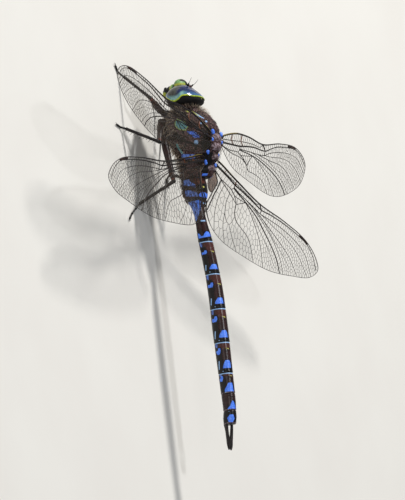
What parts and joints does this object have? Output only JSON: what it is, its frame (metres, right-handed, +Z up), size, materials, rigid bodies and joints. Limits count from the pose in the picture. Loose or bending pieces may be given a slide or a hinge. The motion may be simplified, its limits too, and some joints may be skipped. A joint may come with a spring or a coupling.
{
  "type": "dragonfly",
  "caption": "Life-size male mosaic darner dragonfly standing on six feet, wings spread, long straight abdomen with paired blue spots.",
  "frame": {"origin": "middle of the bounding box at the level of the six soles, which is the floor", "axes": "+Z up, head towards -Y, tail towards +Y, the insect's left side at +X, wings spread along X"},
  "size_m": [0.1016, 0.0768, 0.0189],
  "materials": {
    "head": "glossy black cuticle of the back of the head and antennae",
    "face": "satin yellow-green cuticle with a black cross line",
    "eye": "polished faceted eye, navy above, teal at the side, a yellow-green rear rim",
    "thorax": "brown cuticle under short tan hair, with broken blue-green side stripes",
    "abdomen": "satin dark brown cuticle with paired blue spots and pale rings",
    "leg": "satin dark reddish-brown to black cuticle with spines",
    "wing": "clear membrane, faintly amber, with dark veins and a brown pterostigma",
    "tail": "satin black cuticle"
  },
  "bodies": {
    "root": {"head": "head", "face": "face", "mouthparts": "face", "eye_left": "eye", "eye_right": "eye", "antenna_left": "head", "antenna_right": "head", "neck": "thorax", "prothorax": "thorax", "thorax": "thorax", "foreleg_left_coxa": "leg", "foreleg_left_femur": "leg", "foreleg_left_tibia": "leg", "foreleg_left_tarsus": "leg", "foreleg_right_coxa": "leg", "foreleg_right_femur": "leg", "foreleg_right_tibia": "leg", "foreleg_right_tarsus": "leg", "midleg_left_coxa": "leg", "midleg_left_femur": "leg", "midleg_left_tibia": "leg", "midleg_left_tarsus": "leg", "midleg_right_coxa": "leg", "midleg_right_femur": "leg", "midleg_right_tibia": "leg", "midleg_right_tarsus": "leg", "hindleg_left_coxa": "leg", "hindleg_left_femur": "leg", "hindleg_left_tibia": "leg", "hindleg_left_tarsus": "leg", "hindleg_right_coxa": "leg", "hindleg_right_femur": "leg", "hindleg_right_tibia": "leg", "hindleg_right_tarsus": "leg", "forewing_left": "wing", "forewing_right": "wing", "hindwing_left": "wing", "hindwing_right": "wing", "abdomen_01": "abdomen", "abdomen_02": "abdomen", "abdomen_03": "abdomen", "abdomen_04": "abdomen", "abdomen_05": "abdomen", "abdomen_06": "abdomen", "abdomen_07": "abdomen", "abdomen_08": "abdomen", "abdomen_09": "abdomen", "abdomen_10": "abdomen", "cercus_left": "tail", "cercus_right": "tail", "epiproct": "tail"}
  },
  "joints": []
}
